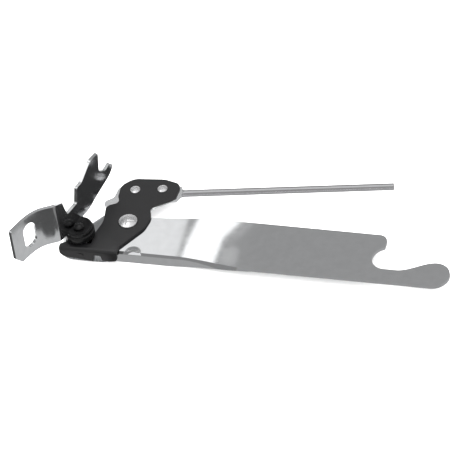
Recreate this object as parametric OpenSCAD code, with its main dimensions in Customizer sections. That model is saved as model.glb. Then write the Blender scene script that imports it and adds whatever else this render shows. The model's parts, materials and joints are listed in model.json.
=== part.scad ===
// Manual can opener: a flat lower handle with a bottle hook and a toothed feed wheel, and a
// black head plate with a fixed blade and a rod handle, hinged together on one large rivet.
// Origin: the middle of the footprint, on the surface that the opener lies on. X runs along
// the lower handle to the hook, Z is up along the feed shaft. Drawn closed, with the blade
// beside the feed wheel. Each piece is drawn about the hinge axis, with its Z measured from
// the top face of the lower handle, and then moved to its place.

/* [Lower handle] */
// Thickness of the lower handle's sheet
handle_t = 1.5; // [1.2:0.1:2]
// Rear edge of the grip, from the hinge axis
grip_rear = 7.3; // [6.5:0.1:9]
// Front edge of the grip, from the hinge axis
grip_front = 20.9; // [19:0.1:23]
// Distance from the hinge axis to the far end of the hook
reach = 150.4; // [140:0.2:170]
// Radius of the bottle hook's opening
hook_r = 6.7; // [6:0.1:7.2]
// Radius of the lobe below the hook
lobe_r = 7.2; // [6.8:0.1:7.6]
// Depth of the turned-down front edge, measured from the top face
flange_depth = 6.8; // [5.5:0.1:8]
// Outer face of the turned-down front edge, from the hinge axis
flange_front = 17.5; // [17:0.1:17.7]

/* [Head plate] */
// Thickness of the black head plate
head_t = 1.1; // [0.8:0.1:1.3]
// Outer face of the head plate's turned-down edge, from the hinge axis
head_front = 20; // [20:0.1:21]
// Thickness of the backing plate behind the head plate
backing_t = 1.56; // [1.2:0.02:1.8]
// Thickness of the blade
blade_t = 1; // [0.8:0.1:1]

/* [Rod handle] */
// Diameter of the rod
rod_d = 3.2; // [2.8:0.1:3.6]
// Distance from the first handle rivet to the end of the rod
rod_reach = 115; // [90:1:130]
// Angle between the rod and the lower handle when closed
rod_angle = 10; // [8:0.5:14]
// Width of the flattened end of the rod
tang_w = 7; // [5.5:0.1:8]
// Thickness of the flattened end of the rod
tang_t = 1.3; // [1:0.1:1.6]

/* [Hinge] */
// Diameter of the hinge rivet's shank
pivot_d = 5; // [4:0.1:6]
// Diameter of the hinge rivet's head
pivot_head_d = 8.3; // [7.5:0.1:9]
// Diameter of the handle rivets' heads
small_head_d = 4.4; // [3.8:0.1:5]

/* [Feed drive] */
// Feed shaft's place along the handle, towards the head
shaft_x = 19; // [18.5:0.1:20]
// Feed shaft's place towards the front edge
shaft_y = 11; // [10.5:0.1:11.2]
// Diameter of the feed shaft in its bush
shaft_d = 5; // [4.4:0.1:5.4]
// Diameter of the black hub below the key
hub_d = 13.6; // [12:0.1:14]
// Number of teeth on the feed wheel
tooth_count = 15; // [12:1:20]
// Diameter of the feed wheel over its teeth
wheel_d = 10.8; // [10:0.1:11]
// Thickness of the feed wheel
wheel_t = 3.1; // [2.4:0.1:3.3]

/* [Turn key] */
// Thickness of the key's sheet
key_t = 1.6; // [1.2:0.1:2]
// Height of the key's wings
wing_h = 21.6; // [18:0.1:24]
// Width of the oval hole in the curved wing
eye_w = 7; // [5:0.1:8]
// Height of the oval hole in the curved wing
eye_h = 13.5; // [10:0.1:15]

/* [Hidden] */
$fn = 72;
// Steps in each rounded corner of an outline
corner_steps = 6;
// Small overrun that makes a cut pass right through
over = 1;
// Clearance between faces that slide on each other
slide_gap = 0.06;
// Radial running clearance of a pin in its hole
run_gap = 0.05;
ground = -flange_depth;

// Head stack, from the lower handle's top face upwards
head_z = slide_gap;
head_top = head_z + head_t;
backing_z = head_z - backing_t;
tang_z = backing_z - tang_t;
rod_z = tang_z + tang_t / 2;
flange_inner = head_front - head_t;

// Hinge stack
washer_t = 0.6;
washer_z = -handle_t - slide_gap - washer_t;
pivot_head_h = 0.95;
small_shank_d = 2.6;
small_head_h = 0.75;
rivet_1 = [-2, 19.4];
rivet_pitch = 12.2;
rivet_2 = rivet_1 + rivet_pitch * [cos(rod_angle), sin(rod_angle)];

// Feed stack, from the ground up
shaft_at = [-shaft_x, -shaft_y];
bush_top = 1.2;
bush_collar_d = 8;
bush_barrel_d = 6.8;
bush_foot = 0.4;
bush_z = -handle_t - bush_foot;
shaft_foot_h = 1.4;
shaft_foot_d = 6.4;
wheel_z = ground + shaft_foot_h;
wheel_top = wheel_z + wheel_t;
square_w = 3.4;
hub_washer_z = bush_top + slide_gap;
hub_washer_t = 0.3;
hub_z = hub_washer_z + hub_washer_t;
foot_z = 4.9;
foot_top = foot_z + key_t;
hub_shank_d = 4.4;
foot_shank_d = 3.8;
shaft_cap_d = 4.8;
shaft_cap_h = 0.9;

// Key: the web stands on the foot and lies behind the shaft's axis
web_angle = 72;
web_back = 2.6;
// The web's lower edge stands a little above the foot's underside
web_z = foot_z + 0.15;
web_h = 15;
wing_top = foot_z + wing_h;
foot_r = 6.2;

// ---------- outline helpers ----------

function unit(v) = v / norm(v);

// Points of one rounded corner at b, between a and c
function corner(a, b, c, r) =
    let (u = unit(a - b), w = unit(c - b), half = acos(u * w) / 2, d = r / tan(half),
         centre = b + unit(u + w) * (r / sin(half)), p = b + u * d - centre,
         turn = sign(u.x * w.y - u.y * w.x) * -(180 - 2 * half))
    r <= 0 ? [b] : [for (i = [0:corner_steps])
        let (t = -turn * i / corner_steps)
        centre + [p.x * cos(t) + p.y * sin(t), -p.x * sin(t) + p.y * cos(t)]];

// Closed outline through corners given as [x, y, radius]
function rounded(list) =
    [for (i = [0:len(list) - 1])
        let (n = len(list), a = list[(i + n - 1) % n], b = list[i], c = list[(i + 1) % n])
        each corner([a.x, a.y], [b.x, b.y], [c.x, c.y], b[2])];

// Points of an arc about c, from angle a0 to angle a1
function arc(c, r, a0, a1) =
    let (steps = max(1, ceil(abs(a1 - a0) / 10)))
    [for (i = [0:steps]) let (a = a0 + (a1 - a0) * i / steps) c + r * [cos(a), sin(a)]];

// Smooth step from 0 to 1
function ease(t) = t <= 0 ? 0 : t >= 1 ? 1 : t * t * (3 - 2 * t);

// A low dome standing on z = 0
module dome(d, h) {
    ball_r = (d * d / 4 + h * h) / (2 * h);
    intersection() {
        translate([0, 0, h - ball_r])
            sphere(r = ball_r);
        cylinder(d = d, h = h);
    }
}

module ring(outer_d, inner_d, h) {
    difference() {
        cylinder(d = outer_d, h = h);
        translate([0, 0, -over])
            cylinder(d = inner_d, h = h + 2 * over);
    }
}

// Stands an outline drawn in X and Z upright, from y = 0 back to y = t
module upright(t) {
    translate([0, t, 0])
        rotate([90, 0, 0])
            linear_extrude(t)
                children();
}

// ---------- lower handle ----------

flare_start = 26;
flare_end = 62;
flare_steps = 12;
flange_start = -1.5;
// Rounded end of the sheet, about the feed shaft
sheet_end_r = 7.6;
// Front edge of the sheet beside the blade
sheet_front = 17.3;
relief_x = 6.8;
relief_r = 3.6;
relief_depth = 1.7;
hook_at = [reach - 30.3, -6.3];
lobe_at = [reach - lobe_r, lobe_r - grip_front];
// Rounded corner of the sheet above the hook, and the angle at which the hook's circle ends there
tip_r = 4;
tip_at = [reach - 36.8, grip_rear - tip_r];
tip_dir = 112;
// The stretch between hook and lobe rises along a smooth curve
bridge_from = [hook_at.x + 5.9, hook_at.y - hook_r];
bridge = lobe_at + [0, lobe_r] - bridge_from;
bridge_curve = [for (t = [0.9:-0.1:0]) bridge_from + [t * bridge.x, ease(t) * bridge.y]];
front_curve = [for (x = [flare_start:(flare_end - flare_start) / flare_steps:flare_end])
    [x, -flange_front - (grip_front - flange_front) * ease((x - flare_start) / (flare_end - flare_start))]];

module handle_outline() {
    difference() {
        union() {
            translate(shaft_at)
                circle(r = sheet_end_r);
            circle(r = 7);
            polygon(concat(
                [[44, grip_rear], [31, grip_rear - 0.5], [9.7, 4.3], [-3, 5.5]],
                [[-12.4, 2.7], [-16, -0.9], [-25.4, -13], [-25.4, -sheet_front]],
                [[flange_start, -sheet_front], [flange_start, -flange_front]],
                front_curve,
                arc(lobe_at, lobe_r, -90, 90),
                bridge_curve,
                arc(hook_at, hook_r, 270, tip_dir),
                arc(tip_at, tip_r, 0, 90)));
        }
        // The shaft's end of the sheet stops short of the blade
        translate([-40, -30])
            square([40 + flange_start, 30 - sheet_front]);
    }
}

module lower_handle() {
    translate(hinge_at)
        color("silver") {
            difference() {
                translate([0, 0, -handle_t])
                    linear_extrude(handle_t)
                        handle_outline();
                translate([0, 0, -handle_t - over])
                    cylinder(d = pivot_d + 2 * run_gap, h = handle_t + 2 * over);
                translate([shaft_at.x, shaft_at.y, -handle_t - over])
                    cylinder(d = bush_barrel_d, h = handle_t + 2 * over);
                translate([relief_x, -flange_front, -handle_t - over])
                    cylinder(r = relief_r, h = handle_t + 2 * over);
            }
            // Turned-down front edge, running out into the grip
            intersection() {
                translate([0, 0, ground])
                    linear_extrude(flange_depth)
                        polygon(concat([[flange_start, -flange_front]], front_curve,
                            [for (i = [flare_steps:-1:0]) front_curve[i] + [0, handle_t]],
                            [[flange_start, handle_t - flange_front]]));
                translate([0, -grip_front - over, 0])
                    upright(grip_front)
                        difference() {
                            polygon([[flange_start, -0.2], [flange_start, ground], [24, ground], [40, -4.6],
                                     [52, -2.6], [flare_end, -handle_t], [flare_end, -0.2]]);
                            translate([relief_x - relief_r, -relief_depth])
                                square([2 * relief_r, relief_depth]);
                        }
            }
        }
}

// ---------- head plate, blade and backing plate ----------

horn_x = -26.6;
notch_r = 4.9;
notch_edge = shaft_at.y - notch_r;
head_corners = [
    [0, -head_front, 0], [0.2, -16, 2], [8.2, -3.4, 9], [9.6, 3.8, 8], [7.6, 9.6, 2.2], [16.8, 16, 2.5],
    [17.4, 25.6, 3], [9.6, 27.6, 9], [-4.4, 26.2, 6], [-9, 21.4, 5], [-8.6, 14.6, 4], [-7, 10.8, 2],
    [-12.4, 8, 3], [-10.9, -1.6, 12], [-13, -9.6, 3], [-12.6, notch_edge, 0],
    [-24.2, notch_edge, 0], [horn_x, -17.4, 1], [horn_x, -head_front, 0]];

module head_plate() {
    translate(hinge_at)
        color([0.13, 0.13, 0.14]) {
            difference() {
                translate([0, 0, head_z])
                    linear_extrude(head_t)
                        polygon(rounded(head_corners));
                translate([shaft_at.x, shaft_at.y, -over])
                    cylinder(r = notch_r, h = head_top + 2 * over);
                translate([0, 0, -over])
                    cylinder(d = pivot_d, h = head_top + 2 * over);
                for (p = [rivet_1, rivet_2])
                    translate([p.x, p.y, -over])
                        cylinder(d = small_shank_d, h = head_top + 2 * over);
            }
            // Turned-down edge with the slot that shows the blade's tab
            difference() {
                translate([0, -head_front, 0])
                    upright(head_t)
                        polygon(concat([[horn_x, head_top], [horn_x, -2.6], [-25.6, -3.9], [-23.4, -4.5]],
                            [[-17, -4.8], [-11.3, -5.7], [-11, -1.8], [-7.8, -1.8], [-7.4, -4.4]],
                            [[-6, -5], [-2.4, -4.9], [-0.8, -4.2], [0, -2.6], [0, head_top]]));
                translate([blade_rivet_x, -head_front - over, blade_rivet_z])
                    rotate([-90, 0, 0])
                        cylinder(d = blade_shank_d, h = head_t + 2 * over);
            }
        }
}

blade_rivet_x = -17;
blade_rivet_z = -2.7;
blade_shank_d = 1.8;
blade_head_d = 2.8;
blade_head_h = 0.25;
bevel_h = 1.2;

module cutting_blade() {
    translate(hinge_at)
        color("lightgrey")
            difference() {
                translate([0, -flange_inner, 0])
                    upright(blade_t)
                        polygon(concat(
                            [[-25.2, -slide_gap], [-25.2, -4.8], [-24.4, -5.9], [-22.4, ground + 0.2]],
                            [[-19, ground], [-8, ground], [-4.8, -6], [-4, -4.6], [-4, -slide_gap]]));
                translate([blade_rivet_x, -flange_inner - over, blade_rivet_z])
                    rotate([-90, 0, 0])
                        cylinder(d = blade_shank_d, h = blade_t + 2 * over);
                // Ground edge, on the side away from the feed wheel
                translate([-40, -flange_inner, ground])
                    rotate([atan(blade_t * 0.8 / bevel_h), 0, 0])
                        translate([0, -5, -5])
                            cube([50, 5, 5 + bevel_h]);
            }
}

module blade_rivet() {
    translate(hinge_at)
        color([0.1, 0.1, 0.1])
            translate([blade_rivet_x, -head_front, blade_rivet_z])
                rotate([-90, 0, 0]) {
                    cylinder(d = blade_shank_d, h = head_t + blade_t);
                    translate([0, 0, -blade_head_h])
                        cylinder(d = blade_head_d, h = blade_head_h);
                    translate([0, 0, head_t + blade_t])
                        cylinder(d = blade_head_d, h = blade_head_h);
                }
}

backing_corners = [
    [-13.9, 8.4, 1.5], [-13.9, 12, 2], [-10.6, 14.6, 3], [-10.2, 20, 4], [-7.4, 24.4, 3], [-2, 25.8, 3],
    [9.6, 26.6, 6], [18.4, 25, 2], [19, 20.4, 3], [17.4, 16.6, 2], [15, 16.2, 3], [8, 10.8, 2],
    [6, 8.4, 2]];

module backing_plate() {
    translate(hinge_at)
        color("gainsboro")
            difference() {
                translate([0, 0, backing_z])
                    linear_extrude(backing_t)
                        polygon(rounded(backing_corners));
                for (p = [rivet_1, rivet_2])
                    translate([p.x, p.y, backing_z - over])
                        cylinder(d = small_shank_d, h = backing_t + 2 * over);
            }
}

// ---------- rod handle ----------

tang_end = 16.5;
// Where the round rod starts, and how far the flattened end runs into it
rod_start = 21.8;
rod_root = 0.6;

module upper_handle() {
    translate(hinge_at)
        color("silver")
            translate([rivet_1.x, rivet_1.y, 0])
                rotate([0, 0, rod_angle]) {
                    difference() {
                        translate([0, 0, tang_z])
                            linear_extrude(tang_t)
                                polygon(rounded([
                                    [-4.6, -tang_w / 2, 2.6], [tang_end, -tang_w / 2, 3],
                                    [rod_start + rod_root, 0.4 - rod_d / 2, 0],
                                    [rod_start + rod_root, rod_d / 2 - 0.4, 0],
                                    [tang_end, tang_w / 2, 3], [-4.6, tang_w / 2, 2.6]]));
                        for (x = [0, rivet_pitch])
                            translate([x, 0, tang_z - over])
                                cylinder(d = small_shank_d, h = tang_t + 2 * over);
                    }
                    translate([rod_start, 0, rod_z])
                        rotate([0, 90, 0])
                            cylinder(d = rod_d, h = rod_reach - rod_start);
                }
}

module handle_rivets() {
    translate(hinge_at)
        color("lightgrey")
            for (p = [rivet_1, rivet_2])
                translate([p.x, p.y, 0]) {
                    translate([0, 0, tang_z])
                        cylinder(d = small_shank_d, h = head_top - tang_z);
                    translate([0, 0, head_top])
                        dome(small_head_d, small_head_h);
                    translate([0, 0, tang_z])
                        mirror([0, 0, 1])
                            dome(small_head_d, small_head_h);
                }
}

// ---------- hinge ----------

module pivot_rivet() {
    translate(hinge_at)
        color("lightgrey") {
            translate([0, 0, washer_z])
                cylinder(d = pivot_d, h = head_top - washer_z);
            translate([0, 0, head_top])
                dome(pivot_head_d, pivot_head_h);
            translate([0, 0, washer_z])
                mirror([0, 0, 1])
                    dome(pivot_head_d, pivot_head_h);
        }
}

module pivot_washer() {
    translate(hinge_at)
        color("grey")
            translate([0, 0, washer_z])
                ring(pivot_head_d + 1.7, pivot_d, washer_t);
}

// ---------- feed drive ----------

module at_shaft(z) {
    translate([shaft_at.x, shaft_at.y, z])
        children();
}

module shaft_bush() {
    translate(hinge_at)
        color("goldenrod")
            difference() {
                union() {
                    at_shaft(0)
                        cylinder(d = bush_collar_d, h = bush_top);
                    at_shaft(-handle_t)
                        cylinder(d = bush_barrel_d, h = handle_t);
                    at_shaft(bush_z)
                        cylinder(d = bush_collar_d, h = bush_foot);
                }
                at_shaft(bush_z - over)
                    cylinder(d = shaft_d + 2 * run_gap, h = bush_top - bush_z + 2 * over);
            }
}

module feed_shaft() {
    translate(hinge_at)
        color("dimgray") {
            at_shaft(ground)
                cylinder(d = shaft_foot_d, h = shaft_foot_h);
            at_shaft(wheel_z)
                linear_extrude(wheel_t)
                    square(square_w, center = true);
            at_shaft(wheel_top)
                cylinder(d = shaft_d, h = bush_top - wheel_top);
            at_shaft(bush_top)
                cylinder(d = hub_shank_d, h = foot_z - bush_top);
            at_shaft(foot_z)
                cylinder(d = foot_shank_d, h = key_t);
            at_shaft(foot_top)
                dome(shaft_cap_d, shaft_cap_h);
        }
}

module hub_washer() {
    translate(hinge_at)
        color("silver")
            at_shaft(hub_washer_z)
                ring(bush_collar_d, hub_shank_d, hub_washer_t);
}

module key_hub() {
    translate(hinge_at)
        color([0.08, 0.08, 0.08])
            at_shaft(hub_z)
                ring(hub_d, hub_shank_d, foot_z - hub_z);
}

tooth_depth = 0.9;

module feed_wheel() {
    translate(hinge_at)
        color("slategray")
            at_shaft(wheel_z)
                linear_extrude(wheel_t)
                    difference() {
                        polygon([for (i = [0:tooth_count - 1], k = [0, 0.35, 0.5, 0.85])
                            let (a = 360 * (i + k) / tooth_count,
                                 r = wheel_d / 2 - (k >= 0.5 ? tooth_depth : 0))
                            r * [cos(a), sin(a)]]);
                        square(square_w, center = true);
                    }
}

module wheel_washer() {
    translate(hinge_at)
        color("silver")
            at_shaft(wheel_top)
                ring(bush_collar_d, shaft_d, bush_z - slide_gap - wheel_top);
}

// ---------- turn key ----------

// Path of the curved wing's front face, from the web's end out to the tip
wing_path = [[-24.65, -18.9], [-25.5, -20.5], [-28.2, -21.7], [-31.3, -23.5], [-33.9, -26.4],
             [-35.3, -28.8], [-36.5, -31.2], [-38.3, -35.3], [-39.5, -38.1]];
// Where the wing's sheet starts, inside the web
wing_root = [-25, -18.1];
// The wing stands this much higher than the web, at both edges
wing_step = 0.3;
eye_at = [-35, -28.4];
eye_z = foot_z + 11.2;
eye_turn = 57;
tip_cut = 55;

function path_normal(i) =
    let (n = len(wing_path), a = wing_path[max(i - 1, 0)], b = wing_path[min(i + 1, n - 1)], d = unit(b - a))
    [d.y, -d.x];

module curved_wing() {
    wing_back = [for (i = [len(wing_path) - 1:-1:0]) wing_path[i] + key_t * path_normal(i)];
    eye_half = (eye_h - eye_w) / 2;
    difference() {
        translate([0, 0, foot_z + wing_step])
            linear_extrude(wing_h - wing_step)
                polygon(concat([wing_root], wing_path, wing_back));
        translate([eye_at.x, eye_at.y, eye_z])
            rotate([0, 0, eye_turn])
                translate([0, -wing_h / 2, 0])
                    upright(wing_h)
                        polygon(concat(arc([0, eye_half], eye_w / 2, 0, 180),
                                       arc([0, -eye_half], eye_w / 2, 180, 360)));
        // Lower corner of the tip is cut off at a slant
        translate([-38.2, -34.8, foot_z])
            rotate([0, 0, eye_turn + 10])
                translate([0, -wing_h / 2, 0])
                    upright(wing_h)
                        polygon([[0, -over], [-over, -over], [-12, -over], [-12, 12 * tan(tip_cut)]]);
    }
}

// The hinge axis, seen from the middle of the footprint
rod_tip_y = rivet_1.y + rod_reach * sin(rod_angle) + rod_d / 2;
wing_tip = wing_path[len(wing_path) - 1];
middle = [reach + wing_tip.x - key_t, rod_tip_y + wing_tip.y] / 2;
hinge_at = [-round(middle.x), -round(10 * middle.y) / 10, flange_depth];

// Outline of the web and the forked wing, along the web and up from the plate
fork_corners = [
    [-9.9, web_z, 0], [12.3, web_z, 0], [18.5, 7.1, 9], [29.3, 10, 8], [33.8, 12.9, 1.5],
    [31.5, 16.1, 1.3], [27.6, 14.9, 1.5], [23.4, 18.1, 2.2], [25, 28.1, 0.5], [18.6, 28.6, 3],
    [10.3, 22.6, 3], [6.9, 22.8, 1], [4.8, web_h, 1], [-2.7, web_h, 1], [-4.7, 24, 0.5],
    [-9.9, wing_top - wing_step, 0]];

module turn_key() {
    translate(hinge_at)
        color("silver") {
            curved_wing();
            at_shaft(0)
                rotate([0, 0, web_angle])
                    translate([0, web_back, 0])
                        upright(key_t)
                            polygon(rounded(fork_corners));
            // Foot turned in from the web's lower edge, staked on the shaft
            at_shaft(foot_z)
                rotate([0, 0, web_angle])
                    difference() {
                        cylinder(r = foot_r, h = key_t);
                        translate([0, 0, -over])
                            cylinder(d = foot_shank_d, h = key_t + 2 * over);
                        translate([-10, web_back + key_t / 2, -over])
                            cube([20, 10, key_t + 2 * over]);
                    }
        }
}

lower_handle();
head_plate();
backing_plate();
upper_handle();
handle_rivets();
pivot_rivet();
pivot_washer();
cutting_blade();
blade_rivet();
shaft_bush();
feed_shaft();
hub_washer();
key_hub();
turn_key();
feed_wheel();
wheel_washer();
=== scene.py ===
"""Manual can opener. Sheet-metal pieces are built about the hinge axis, in millimetres with Z
measured from the lower handle's top face, and then moved to their place in the row frame."""
import json
import math

import bmesh
import bpy
from mathutils import Matrix, Vector


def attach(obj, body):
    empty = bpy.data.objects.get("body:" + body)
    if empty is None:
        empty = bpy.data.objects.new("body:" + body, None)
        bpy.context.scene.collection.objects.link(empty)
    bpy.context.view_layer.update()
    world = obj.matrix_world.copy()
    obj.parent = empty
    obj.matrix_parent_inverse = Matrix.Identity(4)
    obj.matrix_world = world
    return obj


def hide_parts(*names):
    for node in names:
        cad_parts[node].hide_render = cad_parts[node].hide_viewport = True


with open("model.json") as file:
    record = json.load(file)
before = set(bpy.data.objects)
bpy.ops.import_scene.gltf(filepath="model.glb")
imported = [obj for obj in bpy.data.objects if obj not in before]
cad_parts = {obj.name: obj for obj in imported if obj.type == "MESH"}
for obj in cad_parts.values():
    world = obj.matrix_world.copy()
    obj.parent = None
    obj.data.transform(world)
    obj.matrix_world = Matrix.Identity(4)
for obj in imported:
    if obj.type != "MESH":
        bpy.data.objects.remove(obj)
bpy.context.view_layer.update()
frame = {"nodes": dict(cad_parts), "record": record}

MM = 0.001
JOINTS = {j["name"]: j for j in frame["record"]["behaviour"]["joints"]}
HINGE = Vector(JOINTS["handle_hinge"]["pos_m"])
SHAFT = Vector((-19.0, -11.0))


# ---------------------------------------------------------------- camera
def set_camera():
    """Long lens at the viewing angle, rolled so that upright edges lean left."""
    azimuth, elevation, roll = math.radians(22.5), math.radians(44.0), math.radians(10.6)
    picture_width = 202.4
    right = Vector((math.cos(azimuth), math.sin(azimuth), 0))
    back = Vector((math.sin(azimuth) * math.cos(elevation),
                   -math.cos(azimuth) * math.cos(elevation), math.sin(elevation)))
    up = back.cross(right)
    cam_right = right * math.cos(roll) - up * math.sin(roll)
    cam_up = right * math.sin(roll) + up * math.cos(roll)
    data = bpy.data.cameras.new("camera")
    data.lens, data.sensor_width = 1000, 36
    distance = picture_width * data.lens / data.sensor_width
    # The picture's middle lies right of the hinge rivet's head and a little below it
    rivet_top, aim_right, aim_down = Vector((0, 0, 2.4)), 45.04, 4.62
    target = rivet_top + cam_right * aim_right - cam_up * aim_down
    camera = bpy.data.objects.new("camera", data)
    bpy.context.scene.collection.objects.link(camera)
    rows = [[cam_right[i], cam_up[i], back[i]] for i in range(3)]
    camera.matrix_world = Matrix.Translation(HINGE + (target + back * distance) * MM) @ Matrix(rows).to_4x4()
    data.clip_start, data.clip_end = 0.1, 200
    bpy.context.scene.camera = camera
    return back


VIEW_BACK = set_camera()


# ---------------------------------------------------------------- outlines
def rounded(corners, steps=8):
    """Closed outline through corners given as (x, y, radius)."""
    points = []
    for i, (x, y, r) in enumerate(corners):
        b = Vector((x, y))
        if r <= 0:
            points.append(b)
            continue
        a, c = Vector(corners[i - 1][:2]), Vector(corners[(i + 1) % len(corners)][:2])
        u, w = (a - b).normalized(), (c - b).normalized()
        half = u.angle(w) / 2
        centre = b + (u + w).normalized() * (r / math.sin(half))
        p, q = b + u * (r / math.tan(half)) - centre, b + w * (r / math.tan(half)) - centre
        start = math.atan2(p.y, p.x)
        turn = (math.atan2(q.y, q.x) - start + math.pi) % (2 * math.pi) - math.pi
        angles = [start + turn * k / steps for k in range(steps + 1)]
        points += [centre + r * Vector((math.cos(t), math.sin(t))) for t in angles]
    return points


def arc(centre, r, a0, a1):
    """Points of an arc from angle a0 to angle a1, in degrees, no more than 5 degrees apart."""
    n = max(1, math.ceil(abs(a1 - a0) / 5))
    angles = [math.radians(a0 + (a1 - a0) * k / n) for k in range(n + 1)]
    return [Vector(centre) + r * Vector((math.cos(a), math.sin(a))) for a in angles]


def ease(t):
    """Smooth rise from 0 to 1 as t goes from 0 to 1."""
    t = min(max(t, 0.0), 1.0)
    return t * t * (3 - 2 * t)


def span(a, b, count):
    """Evenly spaced values from a to b, both included."""
    return [a + (b - a) * k / count for k in range(count + 1)]


def between(x, table):
    """Straight-line value at x in a list of (x, value)."""
    for (x0, v0), (x1, v1) in zip(table, table[1:]):
        if x <= x1:
            return v0 + (v1 - v0) * max(0.0, (x - x0) / (x1 - x0))
    return table[-1][1]


# ---------------------------------------------------------------- mesh helpers
def to_object(bm, name):
    """Object whose mesh holds bm's millimetres about the hinge, moved to the row frame."""
    for v in bm.verts:
        v.co = HINGE + v.co * MM
    mesh = bpy.data.meshes.new(name)
    bm.to_mesh(mesh)
    bm.free()
    obj = bpy.data.objects.new(name, mesh)
    bpy.context.scene.collection.objects.link(obj)
    return obj


def add_plate(bm, outline, z0, z1):
    """Closed plate with that outline between two heights."""
    top = bm.faces.new([bm.verts.new((p.x, p.y, z1)) for p in outline])
    if top.normal.z < 0 or sum(a.x * b.y - b.x * a.y for a, b in zip(outline, outline[1:] + outline[:1])) < 0:
        top.normal_flip()
    lower = bmesh.ops.extrude_face_region(bm, geom=[top])["geom"]
    moved = [g for g in lower if isinstance(g, bmesh.types.BMVert)]
    bmesh.ops.translate(bm, verts=moved, vec=(0, 0, z0 - z1))
    return bm


def clean(bm):
    """Merges doubled corners and turns every face outwards."""
    bmesh.ops.remove_doubles(bm, verts=bm.verts, dist=0.001)
    bmesh.ops.recalc_face_normals(bm, faces=bm.faces)
    return bm


def lathe(profile, segments=96, centre=(0, 0)):
    """Turned solid about a vertical axis. profile is (radius, z) from one end of the axis to the other."""
    bm = bmesh.new()
    rings = []
    for r, z in profile:
        if r < 1e-6:
            rings.append([bm.verts.new((centre[0], centre[1], z))])
            continue
        rings.append([bm.verts.new((centre[0] + r * math.cos(2 * math.pi * k / segments),
                                    centre[1] + r * math.sin(2 * math.pi * k / segments), z))
                      for k in range(segments)])
    for a, b in zip(rings, rings[1:]):
        for k in range(segments):
            corners = [a[k % len(a)], a[(k + 1) % len(a)], b[(k + 1) % len(b)], b[k % len(b)]]
            bm.faces.new(list(dict.fromkeys(corners)))
    bmesh.ops.recalc_face_normals(bm, faces=bm.faces)
    return bm


def bake(obj):
    """Applies the modifiers that obj has now."""
    graph = bpy.context.evaluated_depsgraph_get()
    mesh = bpy.data.meshes.new_from_object(obj.evaluated_get(graph))
    obj.modifiers.clear()
    obj.data = mesh


def cut(obj, cutter):
    """Takes cutter's shape out of obj."""
    modifier = obj.modifiers.new("cut", "BOOLEAN")
    modifier.operation, modifier.solver, modifier.object = "DIFFERENCE", "EXACT", cutter
    bake(obj)
    bpy.data.objects.remove(cutter)


def thicken(obj, thickness):
    """Gives a sheet its thickness, on the side away from its faces' normals."""
    modifier = obj.modifiers.new("sheet", "SOLIDIFY")
    modifier.thickness, modifier.offset = thickness * MM, -1
    modifier.use_even_offset = True
    bake(obj)


def round_edges(obj, edge, segments, angle):
    """Rounds every edge that is sharper than the angle, where edge is more than 0."""
    if edge > 0:
        bevel = obj.modifiers.new("edges", "BEVEL")
        bevel.width, bevel.segments = edge * MM, segments
        bevel.limit_method, bevel.angle_limit = "ANGLE", math.radians(angle)
        bevel.harden_normals, bevel.use_clamp_overlap = True, True


def dress(obj, material, body, nodes, edge, segments=3, angle=32):
    """Material, rounded edges, the body that the piece rides on and the CAD nodes that it stands for."""
    obj.data.materials.clear()
    obj.data.materials.append(material)
    obj.data.polygons.foreach_set("use_smooth", [True] * len(obj.data.polygons))
    obj.data.set_sharp_from_angle(angle=math.radians(angle))
    round_edges(obj, edge, segments, angle)
    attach(obj, body)
    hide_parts(*nodes)


# ---------------------------------------------------------------- materials
class Nodes:
    """Short way to build a node material."""

    def __init__(self, name):
        self.material = bpy.data.materials.new(name)
        self.material.use_nodes = True
        self.tree = self.material.node_tree
        self.shader = self.tree.nodes["Principled BSDF"]
        coords = self.tree.nodes.new("ShaderNodeTexCoord")
        self.coords = coords.outputs["Object"]

    def join(self, a, b):
        self.tree.links.new(a, b)

    def noise(self, scale, detail, stretch=(1, 1, 1), rough=0.5):
        mapping = self.tree.nodes.new("ShaderNodeMapping")
        mapping.inputs["Scale"].default_value = stretch
        self.join(self.coords, mapping.inputs["Vector"])
        node = self.tree.nodes.new("ShaderNodeTexNoise")
        node.inputs["Scale"].default_value = scale
        node.inputs["Detail"].default_value = detail
        node.inputs["Roughness"].default_value = rough
        self.join(mapping.outputs["Vector"], node.inputs["Vector"])
        return node.outputs["Fac"]

    def spread(self, value, low, high, start=0.3, end=0.7):
        node = self.tree.nodes.new("ShaderNodeMapRange")
        for key, v in (("From Min", start), ("From Max", end), ("To Min", low), ("To Max", high)):
            node.inputs[key].default_value = v
        self.join(value, node.inputs["Value"])
        return node.outputs["Result"]

    def mix(self, factor, a, b):
        node = self.tree.nodes.new("ShaderNodeMix")
        node.data_type = "RGBA"
        self.join(factor, node.inputs["Factor"])
        # Sockets 6 and 7 are the two colours, and output 2 is the mixed one
        node.inputs[6].default_value = (*a, 1)
        node.inputs[7].default_value = (*b, 1)
        return node.outputs[2]

    def bump(self, height, strength, distance, after=None):
        node = self.tree.nodes.new("ShaderNodeBump")
        node.inputs["Strength"].default_value = strength
        node.inputs["Distance"].default_value = distance * MM
        self.join(height, node.inputs["Height"])
        if after is not None:
            self.join(after, node.inputs["Normal"])
        return node.outputs["Normal"]


def metal(name, base, rough, grain, grain_scale, grain_depth, wave=0.0, wave_scale=60):
    """Bare or plated metal: patchy polish, fine drawn or rolled grain, and a slow wave in the sheet."""
    n = Nodes(name)
    dull = [c * 0.95 for c in base]
    n.shader.inputs["Metallic"].default_value = 1.0
    patch = n.noise(260, 4)
    fine = n.noise(grain_scale, 2, grain, 0.6)
    n.join(n.mix(n.spread(patch, 0, 1), dull, base), n.shader.inputs["Base Color"])
    n.join(n.spread(fine, rough[0], rough[1]), n.shader.inputs["Roughness"])
    normal = None
    if wave:
        normal = n.bump(n.noise(wave_scale, 1, (1, 1, 1), 0.3), 1.0, wave)
    normal = n.bump(fine, 0.5, grain_depth, normal)
    n.join(normal, n.shader.inputs["Normal"])
    return n.material


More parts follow.
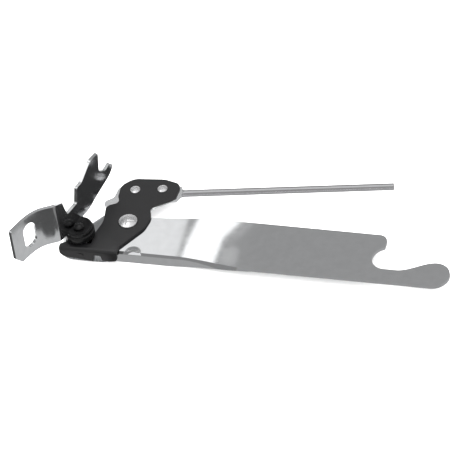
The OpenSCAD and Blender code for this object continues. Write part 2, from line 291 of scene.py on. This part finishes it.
def paint(name, base, rough, fleck, peel=0.006, specular=0.5):
    """Baked enamel or black oxide on steel: faint orange peel, dust-fine flecks and uneven sheen."""
    n = Nodes(name)
    n.shader.inputs["Specular IOR Level"].default_value = specular
    patch, fine, dust = n.noise(180, 3), n.noise(1500, 2), n.noise(3500, 2)
    light = [c + fleck for c in base]
    n.join(n.mix(n.spread(dust, 0, 1, 0.55, 0.75), base, light), n.shader.inputs["Base Color"])
    n.join(n.spread(patch, rough[0], rough[1]), n.shader.inputs["Roughness"])
    n.join(n.bump(fine, 0.6, peel), n.shader.inputs["Normal"])
    return n.material


BRIGHT = metal("bright_nickel_sheet", (0.74, 0.75, 0.76), (0.035, 0.06), (0.06, 1, 1), 2600, 0.0003,
               0.0012, 45)
KEY = metal("key_nickel_plate", (0.66, 0.67, 0.68), (0.1, 0.17), (1, 1, 0.2), 1800, 0.0008, 0.006, 90)
BACKING = metal("backing_nickel_plate", (0.78, 0.79, 0.8), (0.16, 0.24), (0.2, 1, 1), 1800, 0.001)
ROD = metal("drawn_wire", (0.56, 0.56, 0.57), (0.13, 0.2), (0.03, 1, 1), 3200, 0.0003)
RIVET = metal("rivet_zinc", (0.83, 0.83, 0.84), (0.22, 0.32), (1, 1, 1), 1600, 0.0015)
BLADE = metal("ground_blade_steel", (0.4, 0.41, 0.42), (0.2, 0.32), (1, 1, 0.08), 3000, 0.0015)
WHEEL = metal("hard_wheel_steel", (0.42, 0.42, 0.43), (0.25, 0.38), (1, 1, 0.2), 1500, 0.003)
BRASS = metal("turned_brass", (0.62, 0.45, 0.2), (0.22, 0.34), (1, 1, 6), 1200, 0.002)
BLACK = paint("black_enamel", (0.004, 0.004, 0.0043), (0.28, 0.42), 0.005)
HUB = paint("black_oxide", (0.002, 0.002, 0.0021), (0.2, 0.3), 0.002, peel=0.004, specular=0.35)


# ---------------------------------------------------------------- lower handle
SHEET = 1.5
PIVOT_HOLE_R, BUSH_HOLE_R = 2.6, 3.4
RELIEF_X, RELIEF_R, RELIEF_DEPTH = 6.8, 3.6, 1.7
GRIP_REAR, GRIP_FRONT, REACH = 7.3, 20.9, 150.4
FLANGE_FRONT, FLANGE_DEPTH, FLANGE_START, FLARE_START, FLARE_END = 17.5, 6.8, -1.5, 26.0, 62.0
HOOK_R, LOBE_R, TIP_R = 6.7, 7.2, 4.0


def front_edge(x):
    """Front edge of the handle, which steps out into the wider grip."""
    return -FLANGE_FRONT - (GRIP_FRONT - FLANGE_FRONT) * ease((x - FLARE_START) / (FLARE_END - FLARE_START))


def hook_outline():
    """Outline of the grip's end: lobe, rise to the bottle hook, hook, and the corner to the rear edge."""
    hook, lobe = Vector((REACH - 30.3, -6.3)), Vector((REACH - LOBE_R, LOBE_R - GRIP_FRONT))
    tip = Vector((REACH - 36.8, GRIP_REAR - TIP_R))
    start = hook + Vector((5.9, -HOOK_R))
    rise = lobe + Vector((0, LOBE_R)) - start
    bridge = [start + Vector((t * rise.x, ease(t) * rise.y)) for t in span(0.96, 0, 24)]
    return arc(lobe, LOBE_R, -90, 90) + bridge + arc(hook, HOOK_R, 270, 112) + arc(tip, TIP_R, 0, 90)


def rear_curve():
    """Rear edge from the grip towards the hinge, as one slow curve."""
    points = [(58, GRIP_REAR), (44, 7.25), (36, 7.05), (29, 6.6), (22, 5.8), (16, 5.0), (9.7, 4.4),
              (5.4, 4.6)]
    return [Vector(p) for p in points]


def flange_height(x):
    """Height of the handle's turned-down edge, which fades into the grip."""
    table = [(FLANGE_START, FLANGE_DEPTH), (24, FLANGE_DEPTH), (40, 4.6), (52, 2.6), (FLARE_END, SHEET)]
    reach = min(6.0, FLARE_END - x)
    near = [between(x + d, table) for d in span(-reach, reach, 6)]
    return sum(near) / len(near)


def lower_handle():
    """Flat sheet with its front edge turned down, the half-round relief and the two bores."""
    stations = span(FLANGE_START, FLARE_END, 46)
    shaft_end = arc(SHAFT, 7.6, 80, 196) + [Vector((-25.4, -FLANGE_FRONT))]
    neck = arc((0, 0), 7, 44, 136)
    rest = hook_outline() + rear_curve() + neck + [Vector((-12.4, 2.7)), Vector((-16, -2.4))] + shaft_end
    bm = bmesh.new()

    def line(offset, height):
        return [bm.verts.new((x, front_edge(x) + offset, -height(x))) for x in stations]

    top, foot = line(0, lambda x: 0), line(0, flange_height)
    inner_foot, inner_top = line(SHEET, flange_height), line(SHEET, lambda x: SHEET)
    bm.verts.remove(inner_foot[-1])
    inner_foot[-1] = inner_top[-1]
    step = bm.verts.new((FLANGE_START, -FLANGE_FRONT, -SHEET))
    bm.faces.new([top[0], step, foot[0], foot[1], top[1]])
    for a, b in ((top, foot), (foot, inner_foot), (inner_foot, inner_top)):
        for k in range(1 if a is top else 0, len(stations) - 1):
            bm.faces.new(list(dict.fromkeys((a[k], b[k], b[k + 1], a[k + 1]))))
    bm.faces.new([step, foot[0], inner_foot[0], inner_top[0]])
    upper = [bm.verts.new((p.x, p.y, 0)) for p in rest]
    lower = [bm.verts.new((p.x, p.y, -SHEET)) for p in rest]
    bm.faces.new(top + upper)
    bm.faces.new(inner_top + [foot[-1]] + lower + [step])
    side_up, side_low = [top[-1]] + upper + [top[0]], [foot[-1]] + lower + [step]
    for k in range(len(side_up) - 1):
        bm.faces.new((side_up[k], side_up[k + 1], side_low[k + 1], side_low[k]))
    bmesh.ops.recalc_face_normals(bm, faces=bm.faces)
    obj = to_object(bm, "lower_handle_sheet")
    below, above = -4, 2
    cuts = (((RELIEF_X, -FLANGE_FRONT), RELIEF_R, -RELIEF_DEPTH), ((0, 0), PIVOT_HOLE_R, below),
            (SHAFT, BUSH_HOLE_R, below))
    for centre, r, z0 in cuts:
        cut(obj, to_object(lathe([(0, z0), (r, z0), (r, above), (0, above)], 72, centre), "cutter"))
    dress(obj, BRIGHT, "lower_handle", ["lower_handle"], 0.32, 4)


# ---------------------------------------------------------------- head plate
HEAD_Z, HEAD_T, HEAD_BEND, HEAD_FRONT = 0.06, 1.1, 1.5, 20.0
HEAD_TOP = HEAD_Z + HEAD_T
HORN_X = -26.6


def head_plate():
    """Flat plate folded down along its front edge into a wall with two notches."""
    notch_edge = SHAFT.y - 4.9
    fold_y = -HEAD_FRONT + HEAD_BEND
    corners = [(0, fold_y, 0), (0.2, -16, 2), (8.2, -3.4, 9), (9.6, 3.8, 8), (7.6, 9.6, 2.2),
               (16.8, 16, 2.5), (17.4, 25.6, 3), (9.6, 27.6, 9), (-4.4, 26.2, 6), (-9, 21.4, 5),
               (-8.6, 14.6, 4), (-7, 10.8, 2), (-12.4, 8, 3), (-10.9, -1.6, 12), (-13, -9.6, 3),
               (-12.6, notch_edge, 0.8), (-24.2, notch_edge, 0.8), (HORN_X, -17.4, 0.6),
               (HORN_X, fold_y, 0)]
    bm = bmesh.new()
    rows = []
    bend = [(fold_y - HEAD_BEND * math.sin(a), HEAD_TOP - HEAD_BEND * (1 - math.cos(a)))
            for a in span(0, math.pi / 2, 9)]
    for x in span(HORN_X, 0, 32):
        rows.append([bm.verts.new((x, y, z)) for y, z in bend])
    for a, b in zip(rows, rows[1:]):
        for k in range(len(a) - 1):
            bm.faces.new((a[k], b[k], b[k + 1], a[k + 1]))
    outline = rounded(corners)
    bm.faces.new([row[0] for row in rows] + [bm.verts.new((p.x, p.y, HEAD_TOP)) for p in outline[1:-1]])
    wall_top = HEAD_TOP - HEAD_BEND
    lower = rounded([(0, wall_top, 0), (0, -2.6, 1), (-0.8, -4.3, 1.2), (-4.2, -5.1, 3),
                     (-7.3, -4.6, 1.0), (-7.8, -1.9, 0.5), (-11, -1.9, 0.5), (-11.3, -5.7, 0.5),
                     (-17, -4.9, 6), (-24.9, -4.2, 2.4), (HORN_X, -2.2, 2), (HORN_X, wall_top, 0)], 5)
    bm.faces.new([row[-1] for row in rows] + [bm.verts.new((p.x, -HEAD_FRONT, p.y)) for p in lower[1:-1]])
    clean(bm)
    if max(bm.faces, key=lambda f: f.calc_area()).normal.z < 0:
        bmesh.ops.reverse_faces(bm, faces=bm.faces)
    obj = to_object(bm, "head_plate_sheet")
    thicken(obj, HEAD_T)
    # Dished seat round the hinge rivet
    seat_r, rim_r, half_slope, above = 4.3, 4.75, 0.25, 4
    seat = lathe([(0, 1.0), (seat_r, HEAD_TOP - half_slope), (rim_r, HEAD_TOP + half_slope), (rim_r, above),
                  (0, above)])
    cut(obj, to_object(seat, "cutter"))
    dress(obj, BLACK, "head", ["head_plate"], 0.2)


# ---------------------------------------------------------------- turn key
KEY_T, FOOT_Z, WING_TOP, WEB_BACK, WEB_ANGLE = 1.6, 4.9, 26.5, 2.6, math.radians(72)
FOOT_R, WEB_END = 6.2, -4.0


def at_web(s, y):
    """Plan place of a point s along the web and y behind the shaft's axis."""
    c, d = math.cos(WEB_ANGLE), math.sin(WEB_ANGLE)
    return SHAFT + Vector((s * c - y * d, s * d + y * c))


def key_path():
    """Plan path of the key's front face from the straight web round the bend and along the curved wing."""
    points = [at_web(WEB_END, WEB_BACK), at_web(-9.7, WEB_BACK)]
    points += [Vector(p) for p in ((-25.7, -20.6), (-28.2, -21.7), (-31.3, -23.5), (-33.9, -26.4),
                                   (-35.3, -28.8), (-36.5, -31.2), (-38.3, -35.3), (-39.5, -38.1))]
    for _ in range(3):
        smooth = [points[0]]
        for a, b in zip(points, points[1:]):
            smooth += [a * 0.75 + b * 0.25, a * 0.25 + b * 0.75]
        points = smooth + [points[-1]]
    return points


def along(path, s):
    """Point of the path at arc length s beyond its first point."""
    for a, b in zip(path, path[1:]):
        length = (b - a).length
        if s <= length:
            return a + (b - a) * (s / length)
        s -= length
    return path[-1] + (path[-1] - path[-2]).normalized() * s


def turn_key():
    """Flat blank with its oval eye, then bent along the wing's path."""
    path = key_path()
    end = WEB_END - sum((b - a).length for a, b in zip(path, path[1:]))
    # Corners as (distance along the web, height, radius), with the wing beyond the web's end
    corners = [(end, 9.9, 0.6), (end + 3.7, FOOT_Z + 0.3, 0.6), (-9.5, FOOT_Z + 0.3, 2), (-7, FOOT_Z, 1),
               (12.3, FOOT_Z, 0.5), (18.5, 7.1, 9), (29.3, 10, 8), (33.8, 12.9, 1.5), (31.5, 16.1, 1.3),
               (27.6, 14.9, 1.5), (23.4, 18.1, 2.2), (25, 28.1, 0.5), (18.6, 28.6, 3), (10.3, 22.6, 3),
               (6.9, 22.8, 1), (4.8, 15, 1), (-2.7, 15, 1), (-4.7, 24, 0.5), (-10, WING_TOP, 4),
               (end, WING_TOP, 0.6)]
    bm = add_plate(bmesh.new(), rounded(corners), 0, KEY_T)
    for s in span(-7, end, 50)[:-1]:
        bmesh.ops.bisect_plane(bm, geom=bm.verts[:] + bm.edges[:] + bm.faces[:], plane_co=(s, 0, 0),
                               plane_no=(1, 0, 0))
    bmesh.ops.recalc_face_normals(bm, faces=bm.faces)
    obj = to_object(bm, "turn_key_stamping")
    eye_at = Vector((-35, -28.4))
    eye_s = min(span(end, WEB_END, 400), key=lambda s: (along(path, WEB_END - s) - eye_at).length)
    eye_r, half, eye_z = 3.5, 3.25, 16.1
    ring = arc((eye_s, eye_z + half), eye_r, 0, 180) + arc((eye_s, eye_z - half), eye_r, 180, 360)
    eye = add_plate(bmesh.new(), ring, -2, 4)
    bmesh.ops.recalc_face_normals(eye, faces=eye.faces)
    cut(obj, to_object(eye, "cutter"))
    for v in obj.data.vertices:
        s, z, depth = (v.co - HINGE) / MM
        beyond = WEB_END - s
        if beyond <= 0:
            p = at_web(s, WEB_BACK + depth)
        else:
            t = (along(path, beyond + 0.3) - along(path, max(0, beyond - 0.3))).normalized()
            p = along(path, beyond) + Vector((t.y, -t.x)) * depth
        v.co = HINGE + Vector((p.x, p.y, z)) * MM
    tidy = bmesh.new()
    tidy.from_mesh(obj.data)
    bmesh.ops.recalc_face_normals(tidy, faces=tidy.faces)
    tidy.to_mesh(obj.data)
    tidy.free()
    dress(obj, KEY, "feed_drive", ["turn_key"], 0.2)


def key_foot():
    """Round foot turned in from the web, dished round the shaft's head and cut off inside the web."""
    top = FOOT_Z + KEY_T
    chamfer, dish_r, dish_depth = 0.25, 5.3, 0.8
    profile = [(0, FOOT_Z), (FOOT_R, FOOT_Z), (FOOT_R, top - chamfer), (FOOT_R - chamfer, top), (5.5, top)]
    profile += [(dish_r * math.cos(t), top - dish_depth * math.sin(t)) for t in span(0.1, math.pi / 2, 12)]
    foot = to_object(lathe(profile, 96, SHAFT), "key_foot_disc")
    cutter = bmesh.new()
    front = WEB_BACK + KEY_T / 2
    behind = [at_web(s, y) for s, y in ((-10, front), (10, front), (10, 12), (-10, 12))]
    add_plate(cutter, behind, 0, 12)
    bmesh.ops.recalc_face_normals(cutter, faces=cutter.faces)
    cut(foot, to_object(cutter, "cutter"))
    # The foot is part of the nickel key stamping but gets the black oxide finish: painted dark reflection,
    # standing in for the web and fork that its top would mirror
    dress(foot, HUB, "feed_drive", ["turn_key"], 0.08, 2)


def key_hub():
    """Turned disc between the handle and the key's foot, with a rounded upper rim."""
    z0, z1, r, bore_r = 1.56, FOOT_Z, 6.8, 2.25
    rim, chamfer = 0.6, 0.3
    quarter = math.pi / 2
    bore = [(bore_r, z0 + 0.01), (bore_r, z1 - 0.02), (5.0, z1 - 0.02), (5.2, z1)]
    corner = [(r - rim + rim * math.sin(t), z1 - rim + rim * math.cos(t)) for t in span(0, quarter, 6)]
    foot = [(r - chamfer + chamfer * math.cos(t), z0 + chamfer - chamfer * math.sin(t))
            for t in span(0, quarter, 4)]
    bm = lathe(bore + corner + foot + bore[:1], centre=SHAFT)
    dress(to_object(clean(bm), "key_hub_disc"), HUB, "feed_drive", ["key_hub"], 0)


# ---------------------------------------------------------------- rod handle
RIVET_1, RIVET_2 = Vector((-2, 19.4)), Vector((10.015, 21.519))
ROD_ANGLE, ROD_R, ROD_REACH, ROD_Z = math.radians(10), 1.6, 115.0, -2.15


def upper_handle():
    """Round rod whose end is hammered flat under the backing plate.

    Stations are (distance along the rod, half width, half height)."""
    stations = [(-4.6, 1.6, 0.62), (-4.2, 2.5, 0.65), (-3.3, 3.1, 0.65), (-1.8, 3.45, 0.65), (0, 3.5, 0.65),
                (8, 3.5, 0.65), (12.5, 3.5, 0.65), (14.5, 3.42, 0.66), (16, 3.2, 0.7), (17.2, 2.8, 0.8),
                (18.4, 2.35, 1.0), (19.6, 1.95, 1.25), (20.7, 1.7, 1.48), (21.8, 1.6, 1.6)]
    stations += [(s, ROD_R, ROD_R) for s in span(26, 110, 16)]
    stations += [(ROD_REACH - 0.25, ROD_R, ROD_R), (ROD_REACH - 0.08, ROD_R - 0.08, ROD_R - 0.08),
                 (ROD_REACH, ROD_R - 0.22, ROD_R - 0.22)]
    bm = bmesh.new()
    rings, count = [], 56
    c, d = math.cos(ROD_ANGLE), math.sin(ROD_ANGLE)
    for s, w, h in stations:
        # 2 is a round section, and the flat tang is close to a rounded bar
        squareness = 2 + 5 * (1 - h / ROD_R) / 0.6
        ring = []
        for k in range(count):
            t = 2 * math.pi * k / count
            y = w * math.copysign(abs(math.cos(t)) ** (2 / squareness), math.cos(t))
            z = h * math.copysign(abs(math.sin(t)) ** (2 / squareness), math.sin(t))
            ring.append(bm.verts.new((RIVET_1.x + s * c - y * d, RIVET_1.y + s * d + y * c, ROD_Z + z)))
        rings.append(ring)
    for a, b in zip(rings, rings[1:]):
        for k in range(count):
            bm.faces.new((a[k], a[(k + 1) % count], b[(k + 1) % count], b[k]))
    bm.faces.new(rings[0])
    bm.faces.new(rings[-1])
    bmesh.ops.recalc_face_normals(bm, faces=bm.faces)
    dress(to_object(bm, "rod_handle_wire"), ROD, "head", ["upper_handle"], 0)


# ---------------------------------------------------------------- rivets
def head_height(r, radius, height):
    """Height at radius r of a dome that stands on a circle."""
    ball = (radius * radius + height * height) / (2 * height)
    return math.sqrt(max(ball * ball - r * r, 0)) - (ball - height)


def rivet_head(bm, centre, z, radius, height, grooves=(), dimple=0.0, down=False):
    """Formed head with a rolled rim. grooves are (x0, y0, x1, y1) lines pressed into the dome."""
    sign = -1 if down else 1
    rim, lip, count = 0.22, 0.02, 96
    groove_depth, groove_width = 0.16, 0.2
    rings = []
    for r in [radius * t for t in span(0, 1, 30)][1:]:
        ring = []
        for k in range(count):
            a = 2 * math.pi * k / count
            x, y = r * math.cos(a), r * math.sin(a)
            h = rim + head_height(r, radius, height - rim)
            for x0, y0, x1, y1 in grooves:
                along_line = Vector((x1 - x0, y1 - y0))
                t = min(1, max(0, Vector((x - x0, y - y0)).dot(along_line) / along_line.length_squared))
                gap = (Vector((x - x0, y - y0)) - along_line * t).length
                h -= groove_depth * math.exp(-(gap / groove_width) ** 2)
            h -= dimple * math.exp(-(r / (radius * 0.35)) ** 2)
            ring.append(bm.verts.new((centre.x + x, centre.y + y, z + sign * h)))
        rings.append(ring)
    top = height - dimple - (groove_depth if grooves else 0)
    tip = bm.verts.new((centre.x, centre.y, z + sign * top))
    for k in range(count):
        bm.faces.new((tip, rings[0][k], rings[0][(k + 1) % count]))
    rings.append([bm.verts.new((v.co.x, v.co.y, z + sign * lip)) for v in rings[-1]])
    rings.append([bm.verts.new((centre.x, centre.y, z + sign * lip))] * count)
    for a, b in zip(rings, rings[1:]):
        for k in range(count):
            corners = [a[k], a[(k + 1) % count], b[(k + 1) % count], b[k]]
            bm.faces.new(list(dict.fromkeys(corners)))


def add_shank(bm, place, radius, length, middle, segments):
    """Straight shank, with its middle at that height."""
    made = bmesh.ops.create_cone(bm, cap_ends=True, segments=segments, radius1=radius, radius2=radius,
                                 depth=length)
    bmesh.ops.translate(bm, verts=made["verts"], vec=(place.x, place.y, middle))


def rivets():
    """The hinge rivet with its pressed T-shaped mark, and the two small rivets of the rod."""
    hinge, mark = Vector((0, 0)), [(-0.5, -2.6, -0.5, 2.4), (-0.5, -0.6, 2.5, -0.3)]
    hinge_r, small_r, small_height = 4.15, 2.2, 0.75
    bm = bmesh.new()
    rivet_head(bm, hinge, HEAD_TOP - 0.1, hinge_r, 1.0, mark)
    rivet_head(bm, hinge, -2.16, hinge_r, 0.95, down=True)
    add_shank(bm, hinge, 2.5, 3.2, -0.55, 64)
    bmesh.ops.recalc_face_normals(bm, faces=bm.faces)
    dress(to_object(bm, "hinge_rivet"), RIVET, "head", ["pivot_rivet"], 0.06, 2, 60)
    bm = bmesh.new()
    for place in (RIVET_1, RIVET_2):
        rivet_head(bm, place, HEAD_TOP, small_r, small_height, dimple=0.08)
        rivet_head(bm, place, -2.8, small_r, small_height, down=True)
        add_shank(bm, place, 1.3, 3.9, -0.82, 48)
    bmesh.ops.recalc_face_normals(bm, faces=bm.faces)
    dress(to_object(bm, "handle_rivet_pair"), RIVET, "head", ["handle_rivets"], 0.05, 2, 60)


# ---------------------------------------------------------------- pieces kept from the frame
def dress_frame_nodes():
    """Material, merged corners and rounded edges for the CAD pieces that stay as they are."""
    merge_distance = 0.000002
    looks = {"backing_plate": (BACKING, 0.2), "pivot_washer": (RIVET, 0.08), "cutting_blade": (BLADE, 0.08),
             "blade_rivet": (BLACK, 0.06), "shaft_bush": (BRASS, 0.08), "feed_shaft": (HUB, 0.1),
             "hub_washer": (RIVET, 0.05), "feed_wheel": (WHEEL, 0.12), "wheel_washer": (RIVET, 0.04)}
    for name, (material, edge) in looks.items():
        obj = frame["nodes"][name]
        for slot in obj.material_slots:
            slot.material = material
        weld = obj.modifiers.new("weld", "WELD")
        weld.merge_threshold = merge_distance
        round_edges(obj, edge, 2, 35)


# ---------------------------------------------------------------- room and light
def emission(name, strength):
    """Material that only glows."""
    material = bpy.data.materials.new(name)
    material.use_nodes = True
    nodes = material.node_tree.nodes
    nodes.clear()
    out, glow = nodes.new("ShaderNodeOutputMaterial"), nodes.new("ShaderNodeEmission")
    glow.inputs["Strength"].default_value = strength
    material.node_tree.links.new(glow.outputs[0], out.inputs["Surface"])
    return material


def card(name, corners, height, strength, shift=Vector((0, 0))):
    """Level light panel that only reflections show."""
    bm = bmesh.new()
    bm.faces.new([bm.verts.new((x + shift.x, y + shift.y, height)) for x, y in corners])
    panel = to_object(bm, name)
    panel.data.materials.append(emission(name + "_glow", strength))
    panel.visible_camera = panel.visible_diffuse = panel.visible_shadow = False


def mirror_card(name, corners, height, strength):
    """Panel overhead whose image in the flat handle lies at those corners."""
    lean = Vector((-VIEW_BACK.x, -VIEW_BACK.y)) / VIEW_BACK.z
    card(name, corners, height, strength, lean * height)


def floor_and_world():
    """Pale floor on which the opener lies, and a studio that is brighter near the horizon than above."""
    bm = bmesh.new()
    bmesh.ops.create_grid(bm, x_segments=1, y_segments=1, size=20000)
    bmesh.ops.translate(bm, verts=bm.verts, vec=(0, 0, -HINGE.z / MM))
    floor = to_object(bm, "floor")
    pale = Nodes("pale_floor")
    pale.shader.inputs["Roughness"].default_value = 0.75
    pale.shader.inputs["Specular IOR Level"].default_value = 0.1
    pale.join(pale.mix(pale.spread(pale.noise(4, 2), 0, 1), (0.9, 0.9, 0.9), (0.92, 0.92, 0.92)),
              pale.shader.inputs["Base Color"])
    floor.data.materials.append(pale.material)

    world = bpy.data.worlds.new("studio")
    bpy.context.scene.world = world
    world.use_nodes = True
    tree = world.node_tree
    background = tree.nodes["Background"]
    coords, split = tree.nodes.new("ShaderNodeTexCoord"), tree.nodes.new("ShaderNodeSeparateXYZ")
    ramp = tree.nodes.new("ShaderNodeValToRGB")
    tree.links.new(coords.outputs["Generated"], split.inputs[0])
    tree.links.new(split.outputs["Z"], ramp.inputs["Fac"])
    tree.links.new(ramp.outputs["Color"], background.inputs["Color"])
    stops = [(0.0, 0.85), (0.12, 0.75), (0.45, 0.42), (0.7, 0.38), (1.0, 0.34)]
    for position, value in stops:
        stop = ramp.color_ramp.elements.new(position)
        stop.color = (value, value, value, 1)
    ramp.color_ramp.elements.remove(ramp.color_ramp.elements[0])
    ramp.color_ramp.elements.remove(ramp.color_ramp.elements[-1])
    background.inputs["Strength"].default_value = 1.0


def overhead_light():
    """Very broad lamp that lights the floor and shows in no reflection."""
    sun = bpy.data.lights.new("overhead_softbox", "SUN")
    sun.energy, sun.angle = 9.0, math.radians(170)
    lamp = bpy.data.objects.new("overhead_softbox", sun)
    lamp.rotation_euler = (math.radians(-8), math.radians(-10), 0)
    lamp.visible_glossy = False
    bpy.context.scene.collection.objects.link(lamp)
    bpy.context.scene.view_settings.view_transform = "Standard"


def light_cards():
    """Panels that make the bright and dark zones on the handle, the key, the rod and the rivets."""
    overhead = 260
    mirror_card("card_left", [(-45, 12), (-45, -40), (25.4, -40), (25.8, -17.2), (25.3, -6), (24.8, 3.8),
                              (24.4, 12)], overhead, 1.02)
    mirror_card("card_right", [(30.2, 12), (29.1, 4.5), (28.2, -6), (28.0, -17), (27.8, -40), (44.4, -40),
                               (44.4, -19.4), (44.5, -4), (46.0, -1), (49.9, 7.0), (52.5, 12)], overhead, 1.6)
    mirror_card("card_blob", [(47.5, -22), (46.8, -11), (50, -8.5), (54, -10), (55, -22)], overhead, 0.58)
    mirror_card("card_streak", [(49, -4), (50.2, -4.2), (55.5, 6), (57, 14), (55.4, 14), (53.8, 6.2)],
                overhead, 0.62)
    # Panels just above the table, where the handle's side faces and the key are reflected
    near_table, far, front, contact, behind = -HINGE.z / MM + 0.1, 400, -700, -22, 8
    card("card_front_left", [(-far, contact), (0, contact), (0, front), (-far, front)], near_table, 0.11)
    card("card_front", [(0, contact), (52, contact), (52, front), (0, front)], near_table, 0.3)
    card("card_front_right", [(52, contact), (far, contact), (far, front), (52, front)], near_table, 0.4)
    card("card_contact", [(-30, contact), (-30, -10), (far, -10), (far, contact)], near_table, 0.45)
    card("card_beside_wing", [(-60, -36), (-60, -16), (-30, -16), (-30, contact), (-3, -20), (-13, -36)],
         near_table + 0.02, 0.68)
    card("card_beyond_lobe", [(96, -10), (far, -10), (far, behind), (96, behind)], near_table, 0.45)
    card("card_behind", [(-far, behind), (-far, 500), (far, 500), (far, behind)], near_table, 0.6)
    over_wing, over_rivet = 94, 62
    card("card_upper_left", [(-100, -50), (-45, -50), (-45, 0), (-100, 0)], over_wing, 1.6)
    card("card_over_rivet", [(-34, -8), (-6, -8), (-6, 28), (-34, 28)], over_rivet, 1.9)


lower_handle()
head_plate()
turn_key()
key_foot()
key_hub()
upper_handle()
rivets()
dress_frame_nodes()
floor_and_world()
overhead_light()
light_cards()
